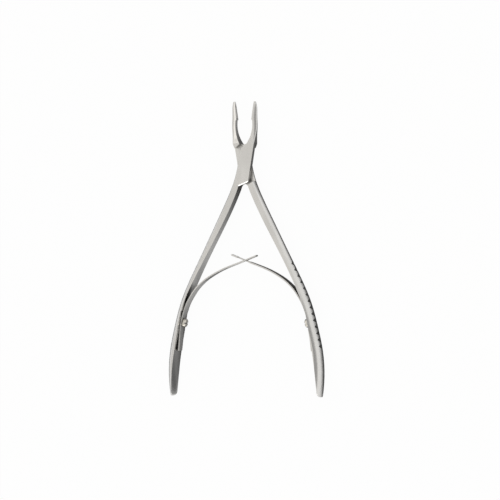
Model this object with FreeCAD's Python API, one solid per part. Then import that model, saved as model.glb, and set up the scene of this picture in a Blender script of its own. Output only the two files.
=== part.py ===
import FreeCAD, Part
import math
import os

os.makedirs("parts", exist_ok=True)

# Bone rongeur with a lap joint, straight cupped jaws and two interlocked leaf springs.
# Millimetres. Z is the thickness, Y runs from the handles to the jaws, X points to the
# right as seen from the front. Each lever is drawn closed, about the middle of the joint,
# and turned open at the end. The origin of the finished tool is on the pivot axis, in the
# plane of the flat front of the joint.

V = FreeCAD.Vector

# Joint
OPENING = 18.9
JOINT_THICKNESS = 5.6
LAP_GAP = 0.06
PLATE_RIGHT = 4.2
PLATE_CORNER_Y = -9.0
CROTCH_X = -0.7
CROTCH_Y = -12.0
PLATE_TOP_Y = 10.5
PLATE_BEVEL = 0.4

# Shoulders of a closed lever, each a line through two points
JAW_SHOULDER = ((3.33, 8.25), (-0.31, 10.21))
HANDLE_SHOULDER = ((-5.2, -9.6), (-0.16, -11.67))
SHOULDER_CLEARANCE = 0.25

# Curve that draws the outer side of the jaw in above its shoulder: x and y
JAW_ROOT = [(4.6, 12.6), (3.98, 10.8), (3.65, 9.3), (3.1, 7.2)]

# Crown of the handle, the line along its outer side. It starts straight beside the joint and
# goes on in tangent pieces, each a radius and a lean from the long axis at its end. A radius
# is positive where the line bends away from the other lever. A piece that keeps its lean is
# straight, and its first value is a length.
CROWN_START = (-2.84, 9.0)
CROWN_STRAIGHT = 4.0
CROWN_RUN = [(84.0, 17.4), (46.3, 17.4), (-83.0, 6.5), (-250.0, 3.0), (-76.0, -22.0)]

# How round the handle is across its crown: y and radius
CROWN_RADII = [
    (8.0, 5.3),
    (-6.0, 5.3),
    (-14.0, 4.4),
    (-25.0, 3.4),
    (-38.0, 3.05),
    (-50.0, 3.4),
    (-62.0, 4.3),
    (-75.0, 5.3),
    (-90.0, 5.5),
    (-99.0, 5.5),
    (-107.0, 5.5),
    (-113.0, 5.5),
    (-119.0, 5.5),
    (-126.0, 5.5),
]

# Inner face of the handle from the crotch down: x and y
INNER_FACE = [
    (-1.0, -14.0),
    (-4.1, -25.5),
    (-9.0, -40.0),
    (-13.25, -52.0),
    (-17.4, -64.5),
    (-20.5, -77.0),
    (-21.3, -91.0),
    (-21.3, -106.0),
    (-20.6, -116.0),
    (-19.9, -122.0),
]

# Half depth of the handle along Z: y and half depth below the joint
HALF_DEPTH = [
    (-12.0, 2.8),
    (-21.0, 2.62),
    (-33.0, 2.65),
    (-44.0, 2.85),
    (-54.0, 3.25),
    (-65.0, 4.1),
    (-76.0, 4.85),
    (-88.0, 5.0),
    (-104.0, 5.0),
]
HANDLE_END_Y = -123.3
HANDLE_END_RADIUS = 4.9
END_ROUND = 1.1
END_FLAT = 0.2
EDGE_RADIUS = 0.35

# Jaw stations towards the tip: y, x of the untrimmed inner side, x of the outer side,
# depth and roundness as above
JAW = [
    (6.0, -0.8, 4.2, 6.0, 0.0),
    (10.0, -0.8, 4.1, 5.75, 0.05),
    (13.0, -0.8, 4.0, 4.4, 0.25),
    (16.5, -0.8, 3.9, 3.4, 0.6),
    (20.0, -0.8, 3.65, 3.1, 0.9),
    (23.0, -0.8, 3.05, 3.05, 1.0),
    (26.0, -0.8, 2.5, 2.75, 1.0),
    (29.0, -0.8, 1.95, 2.2, 1.0),
    (31.6, -0.8, 0.95, 1.1, 1.0),
]
JAW_STEPS = 2
EDGE_FLAT = 0.12
TIP_GAP = 0.03
RIM_TIP_Y = 30.8
RIM_HEEL_Y = 22.3
RIM_HEEL_X = 0.45
HEEL_STEP = 0.4
HEEL_DROP = 0.15
WINDOW_TOP_X = 0.3
WINDOW = [(1.0, 12.0), (1.6, 15.6), (1.5, 19.0)]
CUP_RADIUS = 1.15
CUP_END_WALL = 0.55
CUP_TAPER = 0.65
CUP_SHIFT = 0.1

# Grooves across the outer side of each handle
GROOVE_COUNT = 14
GROOVE_PITCH = 3.35
GROOVE_START_Y = -54.5
GROOVE_HALF_WIDTH = 1.05
GROOVE_DEPTH = 0.6

# Pivot screw, entered from the back and screwed into the front lever
PIVOT_SHANK = 3.2
PIVOT_HEAD = 4.8
PIVOT_HEAD_HEIGHT = 1.1
PIVOT_CLEARANCE = 0.04
PIVOT_COVER = 0.6
PIVOT_END_GAP = 0.1
SLOT_WIDTH = 0.55
SLOT_DEPTH = 0.5
SLOT_TURN = 35.0

# Leaf springs
SPRING_THICKNESS = 0.65
SPRING_BASE_WIDTH = 5.6
SPRING_TIP_WIDTH = 2.4
SEAT_Y = -85.4
SEAT_HALF_LENGTH = 3.2
SEAT_ABOVE = 6.0
SEAT_RECESS = 0.1
TAIL_LENGTH = 14.2
TAIL_STANDOFF = 1.15
FOOT_HEIGHT = 0.84
FOOT_RUN = 0.2
CLAMP_HALF_LENGTH = 2.56
CROSSING_Y = -49.3
TIP_RISE = 0.384
TIP_SLOPE = 0.36
BOW_STEPS = 10
SLOTTED_TIP_X = 6.3
HEADED_TIP_X = 7.4
TAPER_START = 3.2
SLOT_HALF_WIDTH = 0.6
SLOT_FROM_X = -4.6
SLOT_TO_X = 4.7
NECK_HALF_WIDTH = 0.42
NECK_FROM_X = -2.4
NECK_TO_X = 3.9

# Bow of a spring from its clamp to the crossing, as shares of the way across and up
BOW = [(0.057, 0.196), (0.126, 0.348), (0.263, 0.555), (0.506, 0.762)]

# Spring screws
SCREW_SHANK = 2.0
SCREW_HOLE_CLEARANCE = 0.1
SCREW_FIT = 0.01
SCREW_DEPTH = 2.2
SCREW_HEAD = 4.35
SCREW_HEAD_HEIGHT = 1.9
SCREW_COLLAR = 0.35
SCREW_COLLAR_STEP = 0.25
SCREW_CHAMFER = 0.4
SCREW_SLOT_DEPTH = 0.6
SCREW_END_GAP = 0.1

# Handle length that makes a Bezier corner follow an oval
OVAL = 0.5523

HALF = JOINT_THICKNESS / 2
HALF_GAP = LAP_GAP / 2

# How far cutters start outside the metal, reach past it, and reach past the whole tool
EXTRA = 1.0
CLEAR = 10.0
FAR = 60.0


def prism(points, z0, z1):
    """Straight-sided block over a closed outline in the XY plane."""
    corners = [V(x, y, z0) for x, y in points]
    face = Part.Face(Part.makePolygon(corners + corners[:1]))
    return face.extrude(V(0, 0, z1 - z0))


def upright(wire, z0, z1):
    """Straight-sided block over a closed wire in the XY plane."""
    face = Part.Face(wire)
    face.translate(V(0, 0, z0))
    return face.extrude(V(0, 0, z1 - z0))


def bar_section(base, outward, thickness, depth, roundness):
    """Outline across a bar: flat inner side, outer side from square to oval."""
    half = depth / 2
    edge = EDGE_RADIUS
    across = edge + roundness * (thickness - 2 * edge - EDGE_FLAT)
    along = edge + roundness * (half - edge - EDGE_FLAT)

    def at(a, b):
        return base + outward * a + V(0, 0, b)

    def corner(p, bend, q):
        """Quarter of an oval from p to q that leaves p and meets q square to the bend."""
        near = tuple(u + OVAL * (w - u) for u, w in zip(p, bend))
        far = tuple(u + OVAL * (w - u) for u, w in zip(q, bend))
        curve = Part.BezierCurve()
        curve.setPoles([at(*p), at(*near), at(*far), at(*q)])
        return curve.toShape()

    outer = thickness
    side = outer - across
    edges = [
        Part.makeLine(at(0, half - edge), at(0, -half + edge)),
        corner((0, -half + edge), (0, -half), (edge, -half)),
        Part.makeLine(at(edge, -half), at(side, -half)),
        corner((side, -half), (outer, -half), (outer, -half + along)),
        Part.makeLine(at(outer, -half + along), at(outer, half - along)),
        corner((outer, half - along), (outer, half), (side, half)),
        Part.makeLine(at(side, half), at(edge, half)),
        corner((edge, half), (0, half), (0, half - edge)),
    ]
    return Part.Wire(edges)


def column_curve(rows, columns):
    """Smooth curve through some columns of a station table, paced by its first column."""
    pace = [abs(row[0] - rows[0][0]) for row in rows]
    points = [V(*[row[c] for c in columns]) for row in rows]
    curve = Part.BSplineCurve()
    curve.interpolate(Points=points, Parameters=pace)
    return curve


def smoothed(rows, steps):
    """Station table with smooth rows added between its own."""
    sizes = column_curve(rows, (0, 1, 2))
    forms = column_curve(rows, (0, 3, 4))
    first = rows[0][0]
    dense = []
    for before, after in zip(rows[:-1], rows[1:]):
        for step in range(steps):
            y = before[0] + (after[0] - before[0]) * step / steps
            size = sizes.value(abs(y - first))
            form = forms.value(abs(y - first))
            dense.append((y, size.y, size.z, form.y, min(max(form.z, 0.0), 1.0)))
    return dense + [rows[-1]]


def inner_line():
    """Curve along the inner face of the handle."""
    curve = Part.BSplineCurve()
    curve.interpolate([V(x, y, 0) for x, y in INNER_FACE])
    return curve


def crown_path():
    """Pieces of the crown: start, direction, way outwards, length and radius."""
    point = V(CROWN_START[0], CROWN_START[1], 0)
    pieces = [(point, V(0, -1, 0), V(-1, 0, 0), CROWN_STRAIGHT, 0.0)]
    point = point + V(0, -CROWN_STRAIGHT, 0)
    lean = 0.0
    for size, end_lean in CROWN_RUN:
        a = math.radians(lean)
        along = V(-math.sin(a), -math.cos(a), 0)
        outward = V(-math.cos(a), math.sin(a), 0)
        bend = math.radians(end_lean - lean)
        if bend == 0:
            pieces.append((point, along, outward, size, 0.0))
            point = point + along * size
        else:
            pieces.append((point, along, outward, bend * size, size))
            point = point + along * (size * math.sin(bend)) + outward * (size * (1 - math.cos(bend)))
        lean = end_lean
    return pieces


def crown_points(heights):
    """Points of the crown and their way outwards at given heights, by stepping along it."""
    step = 0.02
    found = []
    for start, along, outward, length, radius in crown_path():
        for i in range(int(length / step)):
            reach = i * step
            if radius:
                bend = reach / radius
                side = radius * (1 - math.cos(bend))
                place = start + along * (radius * math.sin(bend)) + outward * side
                way = outward * math.cos(bend) - along * math.sin(bend)
            else:
                place = start + along * reach
                way = outward
            if len(found) < len(heights) and place.y <= heights[len(found)]:
                found.append((place, way))
    return found


def point_at_y(curve, y):
    """Point and upward direction of a handle curve at a height."""
    low = curve.FirstParameter
    high = curve.LastParameter
    for _ in range(40):
        middle = (low + high) / 2
        if curve.value(middle).y > y:
            low = middle
        else:
            high = middle
    upward = curve.tangent(low)[0]
    if upward.y < 0:
        upward = upward * -1
    return curve.value(low), upward


def crown_tube():
    """Round bar whose outer side is the crown, lofted through circles of each radius."""
    rings = []
    for (place, way), (y, radius) in zip(crown_points([y for y, r in CROWN_RADII]), CROWN_RADII):
        along = V(way.y, -way.x, 0)
        rings.append(Part.Wire([Part.Circle(place - way * radius, along, radius).toShape()]))
    return Part.makeLoft(rings, True, False)


def depth_outline():
    """Side view of the joint and the handle, as a block standing along X."""
    top = PLATE_TOP_Y + EXTRA
    curve = Part.BSplineCurve()
    curve.interpolate([V(0, y, z) for y, z in HALF_DEPTH])
    half = HALF_DEPTH[-1][1]
    end = HANDLE_END_Y
    r = HANDLE_END_RADIUS
    corner = Part.Arc(
        V(0, end + r, half),
        V(0, end + r * (1 - math.sqrt(0.5)), half - r * (1 - math.sqrt(0.5))),
        V(0, end, half - r),
    )
    front = [
        Part.makeLine(V(0, top, HALF), V(0, HALF_DEPTH[0][0], HALF)),
        curve.toShape(),
        Part.makeLine(V(0, HALF_DEPTH[-1][0], half), V(0, end + r, half)),
        corner.toShape(),
        Part.makeLine(V(0, end, half - r), V(0, end, 0)),
    ]
    back = [edge.mirror(V(0, 0, 0), V(0, 0, 1)) for edge in front]
    close = Part.makeLine(V(0, top, HALF), V(0, top, -HALF))
    face = Part.Face(Part.Wire(Part.__sortEdges__(front + back + [close])))
    face.translate(V(-FAR, 0, 0))
    return face.extrude(V(FAR + CLEAR, 0, 0))


def handle_bar():
    """Handle: flat inner face, round crown, depth from the side view."""
    line = inner_line()
    top = CROWN_START[1]
    foot = line.value(line.LastParameter)
    end = HANDLE_END_Y
    heel = V(foot.x - END_ROUND, end, 0)
    toe = V(heel.x - END_FLAT, end, 0)
    corner = V(toe.x - END_ROUND, end + END_ROUND, 0)
    r = END_ROUND * (1 - math.sqrt(0.5))
    edges = [
        Part.makeLine(V(PLATE_RIGHT / 2, top, 0), V(*INNER_FACE[0], 0)),
        line.toShape(),
        Part.Arc(foot, V(foot.x - r, end + r, 0), heel).toShape(),
        Part.makeLine(heel, toe),
        Part.Arc(toe, V(corner.x + r, end + r, 0), corner).toShape(),
        Part.makeLine(corner, V(-FAR, corner.y, 0)),
        Part.makeLine(V(-FAR, corner.y, 0), V(-FAR, top, 0)),
        Part.makeLine(V(-FAR, top, 0), V(PLATE_RIGHT / 2, top, 0)),
    ]
    return upright(Part.Wire(edges), -CLEAR, CLEAR).common(crown_tube())


def jaw_bar():
    """Lofted jaw, with stock left on its inner side for the trimming cut."""
    wires = []
    for y, inner_x, outer_x, depth, roundness in smoothed(JAW, JAW_STEPS):
        base = V(inner_x, y, 0)
        wires.append(bar_section(base, V(1, 0, 0), outer_x - inner_x, depth, roundness))
    slab = Part.makeBox(2 * CLEAR, FAR, JOINT_THICKNESS, V(-CLEAR, 0, -HALF))
    return Part.makeLoft(wires, True, True).common(slab)


def on_line(line, x):
    (x0, y0), (x1, y1) = line
    return y0 + (y1 - y0) * (x - x0) / (x1 - x0)


def mirrored(line):
    return tuple((-x, y) for x, y in line)


def plate_block():
    """Full-thickness stock of the joint between the jaw and the handle."""
    left = CROWN_START[0] / 2
    outline = [
        (left, PLATE_TOP_Y),
        (PLATE_RIGHT, PLATE_TOP_Y),
        (PLATE_RIGHT, PLATE_CORNER_Y),
        (CROTCH_X, CROTCH_Y),
        INNER_FACE[0],
        (left, INNER_FACE[0][1]),
    ]
    return prism(outline, -HALF, HALF)


def closing_side():
    """Space on the closing side of a lever: shoulder line, jaw window, cutting rim."""
    other = mirrored(JAW_SHOULDER)
    (x0, y0), (x1, y1) = other
    drop = SHOULDER_CLEARANCE * math.hypot(1, (y1 - y0) / (x1 - x0))
    left = -2 * PLATE_RIGHT
    low = V(left, on_line(other, left) - drop, 0)
    crotch = V(WINDOW_TOP_X, on_line(other, WINDOW_TOP_X) - drop, 0)
    heel_in = V(RIM_HEEL_X + HEEL_STEP, RIM_HEEL_Y - HEEL_DROP, 0)
    heel = V(RIM_HEEL_X, RIM_HEEL_Y, 0)
    tip = V(TIP_GAP, RIM_TIP_Y, 0)
    beyond = RIM_TIP_Y + CLEAR
    window = Part.BSplineCurve()
    window.interpolate([crotch] + [V(x, y, 0) for x, y in WINDOW] + [heel_in])
    edges = [
        Part.makeLine(low, crotch),
        window.toShape(),
        Part.makeLine(heel_in, heel),
        Part.makeLine(heel, tip),
        Part.makeLine(tip, V(TIP_GAP, beyond, 0)),
        Part.makeLine(V(TIP_GAP, beyond, 0), V(left, beyond, 0)),
        Part.makeLine(V(left, beyond, 0), low),
    ]
    return upright(Part.Wire(edges), -CLEAR, CLEAR)


def jaw_root_side():
    """Space beside the jaw where its outer side runs in to the shoulder."""
    curve = Part.BSplineCurve()
    points = [V(x, y, 0) for x, y in JAW_ROOT]
    curve.interpolate(points)
    low = V(CLEAR, points[-1].y, 0)
    high = V(CLEAR, points[0].y, 0)
    edges = [
        curve.toShape(),
        Part.makeLine(points[-1], low),
        Part.makeLine(low, high),
        Part.makeLine(high, points[0]),
    ]
    return upright(Part.Wire(edges), -CLEAR, HALF_GAP)


def bottom_bevel():
    """Wedge that breaks the lower front edge of the plate."""
    start = V(PLATE_RIGHT, PLATE_CORNER_Y, HALF)
    end = V(CROTCH_X, CROTCH_Y, HALF)
    along = end - start
    length = along.Length
    along.normalize()
    below = V(-along.y, along.x, 0)
    corners = [
        start - below * PLATE_BEVEL,
        start + below * EXTRA + V(0, 0, EXTRA),
        start + below * EXTRA - V(0, 0, PLATE_BEVEL + EXTRA),
        start - V(0, 0, PLATE_BEVEL),
    ]
    face = Part.Face(Part.makePolygon(corners + corners[:1]))
    face.translate(along * -EXTRA)
    return face.extrude(along * (length + EXTRA))


def lap_pocket():
    """Half of the joint taken away behind the plate, between the two shoulders."""
    side = 2 * PLATE_RIGHT
    outline = [
        (-side, on_line(HANDLE_SHOULDER, -side)),
        (side, on_line(HANDLE_SHOULDER, side)),
        (side, on_line(JAW_SHOULDER, side)),
        (-side, on_line(JAW_SHOULDER, -side)),
    ]
    return prism(outline, -CLEAR, HALF_GAP)


def jaw_cup():
    """Hollow of the cutting cup: a slim cone with a short blunt end, lying along the rim."""
    low = RIM_HEEL_Y + CUP_END_WALL
    high = RIM_TIP_Y - CUP_END_WALL
    nose = CUP_RADIUS * CUP_TAPER
    start = V((RIM_HEEL_X + TIP_GAP) / 2 - CUP_SHIFT, low, 0)
    cone = Part.makeCone(CUP_RADIUS, nose, high - nose - low, start, V(0, 1, 0))
    end = Part.makeCone(nose, nose / 2, nose, V(start.x, high - nose, 0), V(0, 1, 0))
    return cone.fuse(end)


def handle_grooves():
    """Notches filed across the crown of the handle."""
    heights = [GROOVE_START_Y - GROOVE_PITCH * i for i in range(GROOVE_COUNT)]
    cutters = []
    for place, way in crown_points(heights):
        up = V(way.y, -way.x, 0)
        bottom = place - way * GROOVE_DEPTH
        reach = GROOVE_HALF_WIDTH / GROOVE_DEPTH * (GROOVE_DEPTH + EXTRA)
        top = place + way * EXTRA
        wedge = Part.makePolygon([bottom, top + up * reach, top - up * reach, bottom])
        cutters.append(upright(wedge, -CLEAR, CLEAR))
    return cutters


def seat_frame():
    """Point on the spring seat, its upward direction and the direction off the face."""
    point, upward = point_at_y(inner_line(), SEAT_Y)
    inward = V(upward.y, -upward.x, 0)
    return point - inward * SEAT_RECESS, upward, inward


def spring_seat():
    """Shallow flat that the spring lies on."""
    point, upward, inward = seat_frame()
    length = SEAT_HALF_LENGTH + SEAT_ABOVE
    box = Part.makeBox(2 * EXTRA, length, 2 * CLEAR, V(0, -SEAT_HALF_LENGTH, -CLEAR))
    box.rotate(V(0, 0, 0), V(0, 0, 1), math.degrees(math.atan2(-upward.x, upward.y)))
    box.translate(point)
    return box


def seat_hole(diameter, length, start):
    """Cylinder square to the spring seat, from start off the seat into the handle."""
    point, upward, inward = seat_frame()
    return Part.makeCylinder(diameter / 2, length, point + inward * start, inward * -1)


def lever():
    """Front lever, closed: plate in front, handle to the left, jaw to the right."""
    body = plate_block().fuse(handle_bar()).common(depth_outline())
    body = body.fuse(jaw_bar())
    trims = [closing_side(), lap_pocket(), jaw_root_side(), jaw_cup(), bottom_bevel(), spring_seat()]
    body = body.cut(trims + handle_grooves())
    hole_depth = SCREW_DEPTH + SCREW_END_GAP
    body = body.cut(seat_hole(SCREW_SHANK + 2 * SCREW_FIT, hole_depth + EXTRA, EXTRA))
    return body.removeSplitter()


def front_lever():
    """Front lever with the blind threaded seat of the pivot screw."""
    depth = HALF - PIVOT_COVER
    bore = Part.makeCylinder(PIVOT_SHANK / 2, depth + EXTRA, V(0, 0, -EXTRA))
    return lever().cut(bore)


def back_lever():
    """Same lever turned over, with the running bore and the recess of the screw head."""
    body = lever()
    body.rotate(V(0, 0, 0), V(0, 1, 0), 180)
    low = V(0, 0, -HALF - EXTRA)
    bore = Part.makeCylinder(PIVOT_SHANK / 2 + PIVOT_CLEARANCE, HALF + 2 * EXTRA, low)
    height = PIVOT_HEAD_HEIGHT + PIVOT_CLEARANCE + EXTRA
    recess = Part.makeCylinder(PIVOT_HEAD / 2 + PIVOT_CLEARANCE, height, low)
    return body.cut([bore, recess])


def pivot_screw():
    """Slotted screw whose head lies flush in the back of the joint."""
    start = -HALF + PIVOT_HEAD_HEIGHT / 2
    end = HALF - PIVOT_COVER - PIVOT_END_GAP
    shank = Part.makeCylinder(PIVOT_SHANK / 2, end - start, V(0, 0, start))
    head = Part.makeCylinder(PIVOT_HEAD / 2, PIVOT_HEAD_HEIGHT, V(0, 0, -HALF))
    corner = V(-SLOT_WIDTH / 2, -PIVOT_HEAD, -HALF - SLOT_DEPTH)
    slot = Part.makeBox(SLOT_WIDTH, 2 * PIVOT_HEAD, 2 * SLOT_DEPTH, corner)
    slot.rotate(V(0, 0, 0), V(0, 0, 1), SLOT_TURN)
    return shank.fuse(head).cut(slot).removeSplitter()


def opened(shape, side):
    """Turn a closed lever, or what it carries, out to the rest position."""
    shape.rotate(V(0, 0, 0), V(0, 0, 1), -side * OPENING / 2)
    return shape


def spring_path(tip_x):
    """Centre line at rest: foot, tail, clamped seat and the bow to the tip."""
    point, upward, inward = seat_frame()
    rise = SPRING_THICKNESS / 2
    local = [
        (-TAIL_LENGTH - FOOT_RUN, TAIL_STANDOFF + rise - FOOT_HEIGHT),
        (-TAIL_LENGTH, TAIL_STANDOFF + rise),
        (-CLAMP_HALF_LENGTH, rise),
        (CLAMP_HALF_LENGTH, rise),
    ]
    turn = FreeCAD.Rotation(V(0, 0, 1), -OPENING / 2)
    rest = [turn.multVec(point + upward * a + inward * b) for a, b in local]
    clamp = rest[3]
    across = V(-clamp.x, 0, 0)
    up = V(0, CROSSING_Y - clamp.y, 0)
    middle = [clamp + across * a + up * b for a, b in BOW]
    crossing = V(0, CROSSING_Y, 0)
    tip = V(tip_x, CROSSING_Y + tip_x * TIP_RISE, 0)
    bow = Part.BSplineCurve()
    bow.interpolate(
        Points=[clamp] + middle + [crossing, tip],
        InitialTangent=turn.multVec(upward),
        FinalTangent=V(1, TIP_SLOPE, 0),
    )
    return rest, bow


def offset_corners(points, rise):
    """Both sides of a bent strip, mitred where it bends."""
    upper = []
    lower = []
    for i, p in enumerate(points[:-1]):
        after = points[i + 1] - p
        after.normalize()
        before = after if i == 0 else p - points[i - 1]
        before.normalize()
        side_a = V(-after.y, after.x, 0)
        side_b = V(-before.y, before.x, 0)
        mitre = side_a + side_b
        mitre.normalize()
        reach = rise / mitre.dot(side_a)
        upper.append(p + mitre * reach)
        lower.append(p - mitre * reach)
    return upper, lower


def leaf(tip_x):
    """Whole left leaf at rest with its full width, tapered towards the tip."""
    rest, bow = spring_path(tip_x)
    rise = SPRING_THICKNESS / 2
    first = bow.FirstParameter
    span = bow.LastParameter - first
    samples = [first + span * i / BOW_STEPS for i in range(BOW_STEPS + 1)]
    upper = []
    lower = []
    for t in samples:
        d = bow.tangent(t)[0]
        side = V(-d.y, d.x, 0)
        upper.append(bow.value(t) + side * rise)
        lower.append(bow.value(t) - side * rise)
    tail_upper, tail_lower = offset_corners(rest, rise)
    top = Part.BSplineCurve()
    top.interpolate(upper)
    bottom = Part.BSplineCurve()
    bottom.interpolate(lower)
    edges = [Part.makeLine(a, b) for a, b in zip(tail_upper[:-1], tail_upper[1:])]
    edges.append(Part.makeLine(tail_upper[-1], upper[0]))
    edges.append(top.toShape())
    edges.append(Part.makeLine(upper[-1], lower[-1]))
    edges.append(bottom.toShape())
    edges.append(Part.makeLine(lower[0], tail_lower[-1]))
    edges += [Part.makeLine(a, b) for a, b in zip(tail_lower[:0:-1], tail_lower[-2::-1])]
    edges.append(Part.makeLine(tail_lower[0], tail_upper[0]))
    half = SPRING_BASE_WIDTH / 2
    return upright(Part.Wire(Part.__sortEdges__(edges)), -half, half)


def side_trims(tip_x):
    """Two wedges that taper the leaf on both edges."""
    wide = SPRING_BASE_WIDTH / 2
    slim = SPRING_TIP_WIDTH / 2
    rest, bow = spring_path(tip_x)
    start = rest[3].x + TAPER_START
    end = tip_x + EXTRA
    low = CROSSING_Y - FAR
    trims = []
    for s in (-1, 1):
        corners = [
            V(start, low, s * wide),
            V(end, low, s * slim),
            V(end, low, s * (wide + EXTRA)),
            V(start, low, s * (wide + EXTRA)),
        ]
        face = Part.Face(Part.makePolygon(corners + corners[:1]))
        trims.append(face.extrude(V(0, 2 * FAR, 0)))
    return trims


def window_box(x0, x1, z0, z1):
    """Upright block through the leaf near the crossing."""
    return Part.makeBox(x1 - x0, 2 * CLEAR, z1 - z0, V(x0, CROSSING_Y - CLEAR, z0))


def clamp_hole():
    """Hole of the spring screw in a leaf at rest."""
    start = SPRING_THICKNESS + EXTRA
    hole = seat_hole(SCREW_SHANK + 2 * SCREW_HOLE_CLEARANCE, start + EXTRA, start)
    return opened(hole, 1)


def slotted_spring():
    """Left leaf: a closed slot near its tip takes the neck of the other one."""
    body = leaf(SLOTTED_TIP_X).cut(side_trims(SLOTTED_TIP_X) + [clamp_hole()])
    slot = window_box(SLOT_FROM_X, SLOT_TO_X, -SLOT_HALF_WIDTH, SLOT_HALF_WIDTH)
    return body.cut(slot)


def headed_spring():
    """Right leaf, drawn on the left and turned over: a neck and a wider head."""
    body = leaf(HEADED_TIP_X).cut(side_trims(HEADED_TIP_X) + [clamp_hole()])
    notches = [
        window_box(NECK_FROM_X, NECK_TO_X, NECK_HALF_WIDTH, SPRING_BASE_WIDTH),
        window_box(NECK_FROM_X, NECK_TO_X, -SPRING_BASE_WIDTH, -NECK_HALF_WIDTH),
    ]
    body = body.cut(notches)
    body.rotate(V(0, 0, 0), V(0, 1, 0), 180)
    return body


def spring_screw(side):
    """Cylinder-head screw that clamps a leaf on its handle."""
    point, upward, inward = seat_frame()
    seat = point + inward * SPRING_THICKNESS
    shank = Part.makeCylinder(SCREW_SHANK / 2, SPRING_THICKNESS + SCREW_DEPTH, seat, inward * -1)
    radius = SCREW_HEAD / 2
    collar = Part.makeCylinder(radius - SCREW_COLLAR_STEP, SCREW_COLLAR, seat, inward)
    start = seat + inward * SCREW_COLLAR
    top = seat + inward * SCREW_HEAD_HEIGHT
    head = Part.makeCylinder(radius, SCREW_HEAD_HEIGHT - SCREW_COLLAR, start, inward)
    rim = [e for e in head.Edges if e.Length > radius * 4 and (e.CenterOfMass - top).Length < SCREW_COLLAR]
    head = head.makeChamfer(SCREW_CHAMFER, rim)
    corner = V(-SCREW_SLOT_DEPTH, -SLOT_WIDTH / 2, -SCREW_HEAD)
    slot = Part.makeBox(2 * SCREW_SLOT_DEPTH, SLOT_WIDTH, 2 * SCREW_HEAD, corner)
    slot.rotate(V(0, 0, 0), V(0, 0, 1), math.degrees(math.atan2(-upward.x, upward.y)))
    slot.translate(top)
    body = shank.fuse([collar, head]).cut(slot).removeSplitter()
    body = opened(body, 1)
    if side < 0:
        body.rotate(V(0, 0, 0), V(0, 1, 0), 180)
    return body


def build():
    return {
        "front_lever": opened(front_lever(), 1),
        "back_lever": opened(back_lever(), -1),
        "pivot_screw": opened(pivot_screw(), 1),
        "left_spring": slotted_spring(),
        "right_spring": headed_spring(),
        "left_spring_screw": spring_screw(1),
        "right_spring_screw": spring_screw(-1),
    }


for name, shape in build().items():
    shape.translate(V(0, 0, -HALF))
    solid = shape.Solids[0]
    box = solid.BoundBox
    print(name, len(shape.Solids), round(solid.Volume, 2), solid.isValid(), box)
    solid.exportStep("parts/" + name + ".step")
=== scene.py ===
import bpy
import math
from mathutils import Matrix, Vector


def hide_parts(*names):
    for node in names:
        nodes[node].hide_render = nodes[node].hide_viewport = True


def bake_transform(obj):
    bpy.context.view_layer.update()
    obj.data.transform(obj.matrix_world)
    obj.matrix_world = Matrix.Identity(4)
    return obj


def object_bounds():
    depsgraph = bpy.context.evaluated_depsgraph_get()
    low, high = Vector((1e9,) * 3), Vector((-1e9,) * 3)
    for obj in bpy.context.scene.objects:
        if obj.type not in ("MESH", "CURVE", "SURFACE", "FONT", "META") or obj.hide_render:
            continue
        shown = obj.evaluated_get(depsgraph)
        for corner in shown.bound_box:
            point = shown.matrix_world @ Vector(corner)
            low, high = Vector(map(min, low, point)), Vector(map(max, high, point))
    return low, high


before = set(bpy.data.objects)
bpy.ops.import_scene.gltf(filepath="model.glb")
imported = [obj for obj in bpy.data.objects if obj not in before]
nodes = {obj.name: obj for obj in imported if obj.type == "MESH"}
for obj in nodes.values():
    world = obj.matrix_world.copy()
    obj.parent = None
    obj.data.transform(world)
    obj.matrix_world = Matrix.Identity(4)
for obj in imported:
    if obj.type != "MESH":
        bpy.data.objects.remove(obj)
cad_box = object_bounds()

# Levers
# Two drop-forged steel levers, ground and glass-bead finished, each with its jaw, its half of
# the lap joint and its bowed handle in one piece. The flats are satin, and hands and cloths
# have polished the edges, which are smoother; their colour is also lightened there as a
# painted highlight, and narrow gaps get painted shade.
BRUSHING_SCALE = 900.0
BEAD_SCALE = 5200.0
CLOUD_SCALE = 55.0
STREAK_SCALE = 140.0
WAVE_SCALE = 120.0
WAVE_HEIGHT = 0.00012
GRAIN_HEIGHT = 0.00004
# Reach and colour of the painted shade that darkens the steel in narrow gaps and corners.
PAINTED_GAP_SHADE_REACH = 0.0028
PAINTED_GAP_SHADE_COLOUR = (0.16, 0.155, 0.15, 1.0)


class Wire:
    """Output of a node. Sums, differences and products add their Math nodes."""

    def __init__(self, network, socket):
        self.network = network
        self.socket = socket

    def __add__(self, other):
        return self.network.math("ADD", self, other)

    def __sub__(self, other):
        return self.network.math("SUBTRACT", self, other)

    def __rsub__(self, other):
        return self.network.math("SUBTRACT", other, self)

    def __mul__(self, other):
        return self.network.math("MULTIPLY", self, other)

    __radd__ = __add__
    __rmul__ = __mul__


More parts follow.
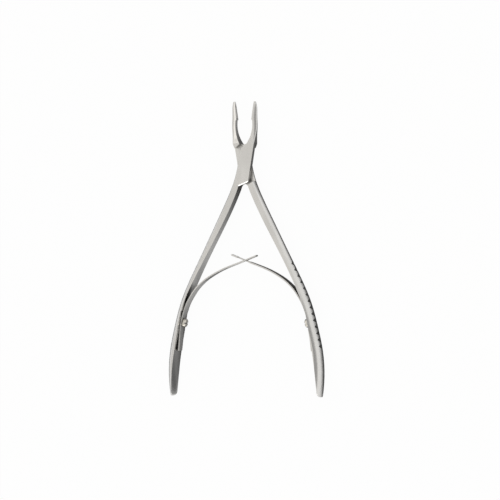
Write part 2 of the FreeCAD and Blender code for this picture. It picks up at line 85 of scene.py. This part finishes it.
class Network:
    """A node tree, and the one method that adds a node to it."""

    def __init__(self, tree):
        self.tree = tree
        tree.nodes.clear()

    def node(self, kind, settings=None, output=0, **values):
        made = self.tree.nodes.new(kind if "Node" in kind else "ShaderNode" + kind)
        for name, setting in (settings or {}).items():
            setattr(made, name, setting)
        for name, value in values.items():
            key = int(name[1:]) if name[1:].isdigit() else name.replace("_", " ")
            socket = made.inputs[key]
            if isinstance(value, Wire):
                self.tree.links.new(value.socket, socket)
            else:
                socket.default_value = value
        return Wire(self, made.outputs[output]) if made.outputs else made

    def math(self, operation, a, b=0.0):
        return self.node("Math", {"operation": operation}, i0=a, i1=b)

    def axis(self, place, number):
        """X, Y or Z of a place."""
        return self.node("SeparateXYZ", output=number, Vector=place)

    def blend(self, share, a, b):
        """Colour between a and b."""
        settings = {"data_type": "RGBA", "clamp_factor": True}
        return self.node("Mix", settings, output=2, i0=share, i6=a, i7=b)

    def ramp(self, value, low, high):
        """0 at low, 1 at high, smooth between."""
        settings = {"interpolation_type": "SMOOTHSTEP"}
        return self.node("MapRange", settings, Value=value, From_Min=low, From_Max=high)

    def dot(self, a, b):
        settings = {"operation": "DOT_PRODUCT"}
        return self.node("VectorMath", settings, output=1, i0=a, i1=b)

    def noise(self, place, scale, detail):
        return self.node("TexNoise", Vector=place, Scale=scale, Detail=detail, Roughness=0.55)


def surface_network(holder):
    """Empty network of a material or world."""
    holder.use_nodes = True
    return Network(holder.node_tree)


def satin_steel(name, dark, light, roughness, grain_along, edge_round):
    """Ground and bead-blasted steel: fine grain, faint brushing, polished edges with a painted
    highlight, painted shade in gaps.
    """
    material = bpy.data.materials.new(name)
    steel = surface_network(material)
    place = steel.node("TexCoord", output=3)
    stretched = steel.node("Mapping", Vector=place, Scale=grain_along)
    brushing = steel.noise(stretched, BRUSHING_SCALE, detail=4.0)
    beads = steel.noise(place, BEAD_SCALE, detail=2.0)
    clouds = steel.noise(place, CLOUD_SCALE, detail=2.0)
    streaks = steel.ramp(steel.noise(stretched, STREAK_SCALE, detail=3.0), 0.35, 0.7)

    soft_edge = steel.node("Bevel", {"samples": 6}, Radius=edge_round)
    true_face = steel.node("NewGeometry", output=1)
    edge = steel.ramp(1.0 - steel.dot(soft_edge, true_face), 0.004, 0.08)
    # Painted highlight: the colour is lightened along edges, beyond the lower roughness that
    # polish gives them.
    polished_edge_highlight = [min(1.0, c * 1.1) for c in light[:3]] + [1.0]
    ground = steel.blend(clouds * 0.5 + streaks * 0.3 + beads * 0.2, dark, light)
    bright = steel.blend(edge * 0.8, ground, polished_edge_highlight)
    # Painted shade: where little is open within the reach, the colour darkens toward a dark
    # grey.
    open_share = steel.node("AmbientOcclusion", {"samples": 8}, output=1, Distance=PAINTED_GAP_SHADE_REACH)
    painted_gap_shade = steel.ramp(1.0 - open_share, 0.25, 0.60)
    colour = steel.blend(painted_gap_shade * 0.8, bright, PAINTED_GAP_SHADE_COLOUR)
    gloss = roughness + (brushing - 0.5) * 0.14 + (clouds - 0.5) * 0.10 - edge * 0.10

    waves = steel.noise(place, WAVE_SCALE, detail=1.0)
    flat = steel.node(
        "Bump", Height=waves, Strength=1.0, Distance=WAVE_HEIGHT, Normal=soft_edge
    )
    grain = brushing * 0.6 + beads * 0.4
    bump = steel.node("Bump", Height=grain, Strength=0.10, Distance=GRAIN_HEIGHT, Normal=flat)
    surface = steel.node(
        "BsdfPrincipled", Base_Color=colour, Metallic=1.0, Roughness=gloss, Normal=bump
    )
    steel.node("OutputMaterial", Surface=surface)
    return material


lever_steel = satin_steel(
    "lever_steel",
    dark=(0.66, 0.65, 0.63, 1.0),
    light=(0.78, 0.77, 0.75, 1.0),
    roughness=0.19,
    grain_along=(1.0, 0.12, 1.0),
    edge_round=0.00012,
)
for name in ("front_lever", "back_lever"):
    nodes[name].data.materials.clear()
    nodes[name].data.materials.append(lever_steel)


# Leaf springs
# Two strips of hardened spring steel, bent cold and polished. Each is screwed down near the
# middle of its handle, stands on a turned foot at its lower end and tapers to its tip. The
# left one has a closed slot that the narrow neck of the right one slides in.
LEAF_THICKNESS = 0.00065
LEAF_HALF_WIDTH = 0.0028
TIP_HALF_WIDTH = 0.0012
TAIL_HALF_WIDTH = 0.0014
TAPER_START = 0.031
MID_DEPTH = -0.0028
FOOT = Vector((-0.037227, -0.094987, MID_DEPTH))
TAIL = Vector((-0.036364, -0.094956, MID_DEPTH))
CLAMP_LOW = Vector((-0.035205, -0.083316, MID_DEPTH))
CLAMP_HIGH = Vector((-0.034199, -0.078296, MID_DEPTH))
CROSSING = Vector((0.0, -0.0493, MID_DEPTH))
BOW = [(0.057, 0.196), (0.126, 0.348), (0.263, 0.555), (0.506, 0.762)]
TIP_RISE = 0.384
CURVE_STEPS = 24
EDGE_SOFTNESS = 0.00009
SHARP_EDGE = math.radians(50)
SHADING_EDGE = math.radians(35)
SLIM_LIMIT = 0.9
LEAF_SIZES = (
    "Half Width",
    "Tip Half Width",
    "Tail Half Width",
    "Tip End",
    "Slim Half Width",
    "Slim From",
    "Slim To",
    "Keep Middle",
)


def bow_points(tip_end):
    """Evenly spaced points on a smooth line from the clamp through the bow to the tip."""
    run = CROSSING - CLAMP_HIGH
    shares = [(0, 0)] + BOW + [(1, 1)]
    corners = [CLAMP_HIGH + Vector((run.x * a, run.y * b, 0)) for a, b in shares]
    corners.append(CROSSING + Vector((tip_end, tip_end * TIP_RISE, 0)))
    data = bpy.data.curves.new("bow", "CURVE")
    data.dimensions = "3D"
    data.resolution_u = CURVE_STEPS
    line = data.splines.new("BEZIER")
    line.bezier_points.add(len(corners) - 1)
    for point, place in zip(line.bezier_points, corners):
        point.co = place
        point.handle_left_type = "AUTO"
        point.handle_right_type = "AUTO"
    carrier = bpy.data.objects.new("bow", data)
    bpy.context.scene.collection.objects.link(carrier)
    bpy.context.view_layer.update()
    mesh = bpy.data.meshes.new_from_object(carrier)
    points = [v.co.copy() for v in mesh.vertices]
    bpy.data.objects.remove(carrier)
    bpy.data.meshes.remove(mesh)
    return points


def leaf_tree():
    """Nodes that widen a path into three strips, taper them and cut through one of them."""
    group = bpy.data.node_groups.new("leaf_spring", "GeometryNodeTree")
    kinds = {"Path": "Geometry", **dict.fromkeys(LEAF_SIZES, "Float"), "Steel": "Material"}
    for name, kind in kinds.items():
        group.interface.new_socket(name, in_out="INPUT", socket_type="NodeSocket" + kind)
    group.interface.new_socket("Leaf", in_out="OUTPUT", socket_type="NodeSocketGeometry")
    net = Network(group)
    given = {name: net.node("NodeGroupInput", output=k) for k, name in enumerate(kinds)}

    path = net.node("GeometryNodeMeshToCurve", Mesh=given["Path"])
    path = net.node("GeometryNodeSetCurveNormal", {"mode": "Z_UP"}, Curve=path)
    across = net.node("GeometryNodeCurvePrimitiveLine", Start=(0, -1, 0), End=(0, 1, 0))
    across = net.node("GeometryNodeResampleCurve", Curve=across, Count=4)
    number = net.node("GeometryNodeInputIndex")
    across = net.node(
        "GeometryNodeStoreNamedAttribute", Geometry=across, Name="strip", Value=number
    )
    sheet = net.node("GeometryNodeCurveToMesh", Curve=path, Profile_Curve=across)

    place = net.node("GeometryNodeInputPosition")
    x = net.axis(place, 0)
    tail = net.node("MapRange", Value=x, From_Min=CLAMP_LOW.x, From_Max=FOOT.x)
    tip = net.node("MapRange", Value=x, From_Min=-TAPER_START, From_Max=given["Tip End"])
    full = given["Half Width"]
    tail_change = (given["Tail Half Width"] - full) * tail
    wide = full + tail_change + (given["Tip Half Width"] - full) * tip
    slim = net.math("MINIMUM", given["Slim Half Width"], wide * SLIM_LIMIT)

    off_middle = net.node("GeometryNodeInputNamedAttribute", Name="strip") - 1.5
    distance = net.math("ABSOLUTE", off_middle)
    at_edge = net.math("GREATER_THAN", distance, 1.0)
    half = slim + at_edge * (wide - slim)
    depth = MID_DEPTH + net.math("SIGN", off_middle) * half
    spot = net.node("CombineXYZ", X=x, Y=net.axis(place, 1), Z=depth)
    sheet = net.node("GeometryNodeSetPosition", Geometry=sheet, Position=spot)

    middle_strip = net.math("LESS_THAN", distance, 0.25)
    left_out = net.math("ABSOLUTE", middle_strip - given["Keep Middle"])
    past_start = net.math("GREATER_THAN", x, given["Slim From"])
    before_end = net.math("LESS_THAN", x, given["Slim To"])
    cut = left_out * past_start * before_end
    sheet = net.node(
        "GeometryNodeDeleteGeometry", {"domain": "FACE"}, Geometry=sheet, Selection=cut
    )
    sheet = net.node("GeometryNodeRealizeInstances", Geometry=sheet)
    sheet = net.node("GeometryNodeSetMaterial", Geometry=sheet, Material=given["Steel"])
    net.node("NodeGroupOutput", Leaf=sheet)
    return group


def plain_mesh(piece, name):
    """Result of a piece's modifiers as an object of its own."""
    bpy.context.view_layer.update()
    graph = bpy.context.evaluated_depsgraph_get()
    mesh = bpy.data.meshes.new_from_object(piece.evaluated_get(graph))
    made = bpy.data.objects.new(name, mesh)
    bpy.context.scene.collection.objects.link(made)
    bpy.data.objects.remove(piece)
    return made


def leaf(name, tree, sizes):
    """Leaf spring on the left handle: its ribbon, given a thickness and soft edges."""
    points = [FOOT, TAIL, CLAMP_LOW] + bow_points(sizes["Tip End"])
    path = []
    for p, q in zip(points[:-1], points[1:]):
        path.append(p)
        cuts = [c for c in (sizes["Slim From"], sizes["Slim To"]) if p.x < c < q.x]
        path += [p.lerp(q, (c - p.x) / (q.x - p.x)) for c in cuts]
    path.append(points[-1])
    mesh = bpy.data.meshes.new(name + "_path")
    mesh.from_pydata(path, [(k, k + 1) for k in range(len(path) - 1)], [])
    ribbon = bpy.data.objects.new(name + "_path", mesh)
    bpy.context.scene.collection.objects.link(ribbon)
    sweep = ribbon.modifiers.new("sweep", "NODES")
    sweep.node_group = tree
    for item in tree.interface.items_tree:
        if item.name in sizes:
            sweep[item.identifier] = sizes[item.name]
    wall = ribbon.modifiers.new("wall", "SOLIDIFY")
    wall.thickness = LEAF_THICKNESS
    wall.offset = 0.0
    wall.use_even_offset = True
    edge = ribbon.modifiers.new("edge", "BEVEL")
    edge.width = EDGE_SOFTNESS
    edge.segments = 2
    edge.limit_method = "ANGLE"
    edge.angle_limit = SHARP_EDGE
    made = plain_mesh(ribbon, name)
    made.data.shade_smooth()
    made.data.set_sharp_from_angle(angle=SHADING_EDGE)
    return made


spring_steel = satin_steel(
    "spring_steel",
    dark=(0.60, 0.59, 0.57, 1.0),
    light=(0.74, 0.73, 0.71, 1.0),
    roughness=0.30,
    grain_along=(1.0, 1.0, 8.0),
    edge_round=0.00008,
)
tree = leaf_tree()
common = {
    "Half Width": LEAF_HALF_WIDTH,
    "Tip Half Width": TIP_HALF_WIDTH,
    "Tail Half Width": TAIL_HALF_WIDTH,
    "Steel": spring_steel,
}
slotted = {
    "Tip End": 0.0063,
    "Slim Half Width": 0.0006,
    "Slim From": -0.0046,
    "Slim To": 0.0047,
    "Keep Middle": 0.0,
}
necked = {
    "Tip End": 0.0074,
    "Slim Half Width": 0.00042,
    "Slim From": -0.0024,
    "Slim To": 0.0039,
    "Keep Middle": 1.0,
}
left = leaf("left_leaf", tree, {**common, **slotted})
right = leaf("right_leaf", tree, {**common, **necked})
turn_over = Matrix.Translation((0, 0, 2 * MID_DEPTH)) @ Matrix.Rotation(math.pi, 4, "Y")
right.data.transform(turn_over)
base = Vector((0.033, -0.0493, MID_DEPTH))
other = Vector((-base.x, base.y, base.z))
for piece, node, own, far, start, end in (
    (left, "left_spring", "front_side", "back_side", other, base),
    (right, "right_spring", "back_side", "front_side", base, other),
):
    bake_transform(piece)
    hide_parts(node)


# Screws
# Turned steel screws. The two at the springs have tall cylinder heads on a collar, with a
# driver slot and a rounded rim. The pivot screw lies flush in the back of the joint.
screw_steel = satin_steel(
    "screw_steel",
    dark=(0.72, 0.69, 0.63, 1.0),
    light=(0.79, 0.76, 0.69, 1.0),
    roughness=0.26,
    grain_along=(1.0, 1.0, 1.0),
    edge_round=0.00012,
)
for name in ("pivot_screw", "left_spring_screw", "right_spring_screw"):
    nodes[name].data.materials.clear()
    nodes[name].data.materials.append(screw_steel)


# Photo studio
# The tool lies on a white table in a pale room that is darker to the left and in one patch at
# the upper right. A softbox stands at the upper left and another low beyond the handles. The
# steel mirrors the shade on the table right beside it. The long lens stands to the right.
TABLE_Z = cad_box[0][2]
TABLE_SIZE = 8.0
TABLE_WHITE = 0.96
VIEW_ANGLE = math.radians(22)
ROLL = math.radians(0.3)
PIXEL = 0.0005065
PICTURE = 500
PIVOT_OFF_MIDDLE = (4.95, 87.0)
DISTANCE = 1.8
SENSOR = 36.0
across = Vector((math.cos(VIEW_ANGLE), 0, -math.sin(VIEW_ANGLE)))
back = Vector((math.sin(VIEW_ANGLE), 0, math.cos(VIEW_ANGLE)))
upward = Vector((0, math.cos(ROLL), 0)) + across * math.sin(ROLL)
sideways = upward.cross(back)
aim = Vector((0, 0, MID_DEPTH))
aim += sideways * (PIVOT_OFF_MIDDLE[0] * PIXEL) - upward * (PIVOT_OFF_MIDDLE[1] * PIXEL)
camera_data = bpy.data.cameras.new("camera")
camera_data.sensor_width = SENSOR
camera_data.lens = SENSOR * DISTANCE / (PICTURE * PIXEL)
camera_data.clip_end = 10.0
camera = bpy.data.objects.new("camera", camera_data)
turn = Matrix((sideways, upward, back)).transposed().to_4x4()
camera.matrix_world = Matrix.Translation(aim + back * DISTANCE) @ turn
bpy.context.scene.collection.objects.link(camera)
bpy.context.scene.camera = camera

bpy.ops.mesh.primitive_plane_add(size=TABLE_SIZE, location=(0, 0, TABLE_Z))
table = bpy.context.object
table.name = "table"
white_table = bpy.data.materials.new("white_table")
white = surface_network(white_table)
to_camera = white.node("LightPath", output=0)
to_metal = white.node("LightPath", output=3)
through = white.node("LightPath", output=6)

# The shade is the open share of the sky to a power. It deepens beside the grips and the joint,
# gets thinner beside the jaws, and is deepest outside the handles and under the springs.
place = white.node("TexCoord", output=3)
x = white.axis(place, 0)
y = white.axis(place, 1)
beside_grips = white.ramp(y, -0.07, -0.085)
beside_joint = white.ramp(y, -0.05, 0.0)
beside_jaws = white.ramp(y, 0.0, 0.012)
on_right = white.ramp(x, -0.002, 0.006)
past_handle = x - (0.58 + y * 1.55) * y
below_joint = 1.0 - beside_joint
left_rim = white.ramp(past_handle, 0.002, -0.0005) * below_joint
left_of_crossing = white.ramp(x, -0.006, -0.012)
under_leaf = white.ramp(past_handle, 0.0068, 0.009) * left_of_crossing
left_power = 1.4 + beside_grips * 1.7 + beside_joint * 5.2 - beside_jaws * 2.8
right_power = 9.0 - beside_joint * 2.5
power = left_power + on_right * (right_power - left_power)
power = power + left_rim * 8.0 + under_leaf * below_joint * 3.0
open_sky = white.node("AmbientOcclusion", {"samples": 12}, output=1, Distance=0.04)
lit = 0.05 + white.math("POWER", open_sky, power) * 0.95
bright = white.math("MAXIMUM", to_camera, lit * 0.92)
glow_colour = white.blend(bright, (0.0, 0.0, 0.0, 1.0), (1.0, 1.0, 1.0, 1.0))
glow = white.node("Emission", Color=glow_colour, Strength=1.0)
matt = white.node("BsdfDiffuse", Color=(0.90, 0.90, 0.90, 1.0))
mirrored = white.math("MAXIMUM", to_metal, through)
share = white.math("MAXIMUM", to_camera * TABLE_WHITE, mirrored)
surface = white.node("MixShader", i0=share, i1=matt, i2=glow)
white.node("OutputMaterial", Surface=surface)
table.data.materials.append(white_table)

world = bpy.data.worlds.new("room")
bpy.context.scene.world = world
room = surface_network(world)
way = room.node("TexCoord")
toward_left = room.ramp(room.axis(way, 0), 0.9, -0.9)
dim_side = Vector((math.sin(math.radians(38)), 0, math.cos(math.radians(38))))
dim_patch = room.ramp(room.dot(way, dim_side), 0.84, 0.97) * 0.9
pale = room.blend(toward_left, (0.945, 0.94, 0.925, 1.0), (0.75, 0.735, 0.708, 1.0))
wall = room.blend(dim_patch, pale, (0.34, 0.335, 0.33, 1.0))
light = room.node("Background", Color=wall, Strength=1.0)
room.node("OutputWorld", Surface=light)


def softbox(name, place, size, watts):
    """Square area lamp that faces the crossing of the springs."""
    data = bpy.data.lights.new(name, "AREA")
    data.size = size
    data.energy = watts
    data.color = (1.0, 0.98, 0.95)
    lamp = bpy.data.objects.new(name, data)
    lamp.location = place
    to_tool = Vector((0, -0.04, 0)) - lamp.location
    lamp.rotation_euler = to_tool.to_track_quat("-Z", "Y").to_euler()
    bpy.context.scene.collection.objects.link(lamp)


softbox("key", Vector((-0.7, 0.25, 0.8)), size=0.6, watts=0.5)
softbox("low", Vector((0.12, -0.95, 0.2)), size=0.4, watts=1.1)

view = bpy.context.scene.view_settings
view.view_transform = "Standard"
